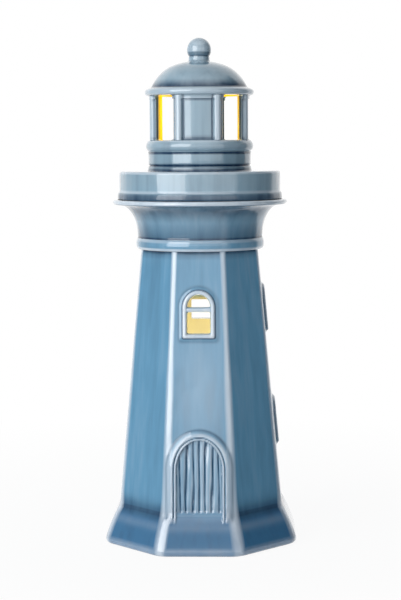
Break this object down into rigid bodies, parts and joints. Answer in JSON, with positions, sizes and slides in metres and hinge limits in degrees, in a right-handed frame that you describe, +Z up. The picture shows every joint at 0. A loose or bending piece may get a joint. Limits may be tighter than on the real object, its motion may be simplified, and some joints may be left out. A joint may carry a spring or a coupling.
{
  "type": "ceramic lighthouse lantern",
  "caption": "Glazed ceramic garden lighthouse lantern with an eight-sided tower, a lift-off lantern top with open windows, and a battery tealight inside.",
  "frame": {"origin": "centre of the foot, on the surface that the lantern stands on", "axes": "+Z up the tower, -Y out of the front with the door, +X towards the side with two windows"},
  "size_m": [0.114, 0.114, 0.3002],
  "materials": {
    "glaze": "thick glossy blue glaze, pale on edges, golden yellow inside",
    "wax_plastic": "satin ivory moulded plastic",
    "flame": "translucent moulded flame, lit from inside",
    "diode": "clear warm epoxy",
    "tinned_wire": "tinned wire",
    "board": "green circuit board",
    "chip": "black chip resistor",
    "switch_metal": "folded tinned steel",
    "knob_plastic": "black moulded plastic",
    "spring_metal": "plated spring strip",
    "cell_metal": "plain stainless can, unmarked",
    "screw_metal": "plated cross-recess screws",
    "cover_plastic": "satin moulded plastic"
  },
  "bodies": {
    "tower": {"tower": "glaze"},
    "top": {"lantern_top": "glaze"},
    "tealight": {"tealight_cup": "wax_plastic", "flame_cap": "flame", "led": "diode", "led_leads": "tinned_wire", "circuit_board": "board", "resistor": "chip", "switch_case": "switch_metal", "negative_contact": "spring_metal", "positive_contact": "spring_metal", "coin_cell": "cell_metal", "base_cover": "wax_plastic", "base_screws": "screw_metal"},
    "switch": {"switch_knob": "knob_plastic"},
    "cell_cover": {"battery_cover": "cover_plastic"}
  },
  "joints": [
    {"name": "top_lift", "type": "slide", "parent": "tower", "child": "top", "axis": [0, 0, 1], "range_m": [0, 0.1]},
    {"name": "tealight_lift", "type": "slide", "parent": "tower", "child": "tealight", "axis": [0, 0, 1], "range_m": [0, 0.2]},
    {"name": "switch_slide", "type": "slide", "parent": "tealight", "child": "switch", "axis": [0, 1, 0], "range_m": [0, 0.003]},
    {"name": "battery_cover_turn", "type": "hinge", "parent": "tealight", "child": "cell_cover", "pos_m": [-0.0044, 0, 0.0073], "axis": [0, 0, 1], "range_deg": [0, 30]}
  ]
}
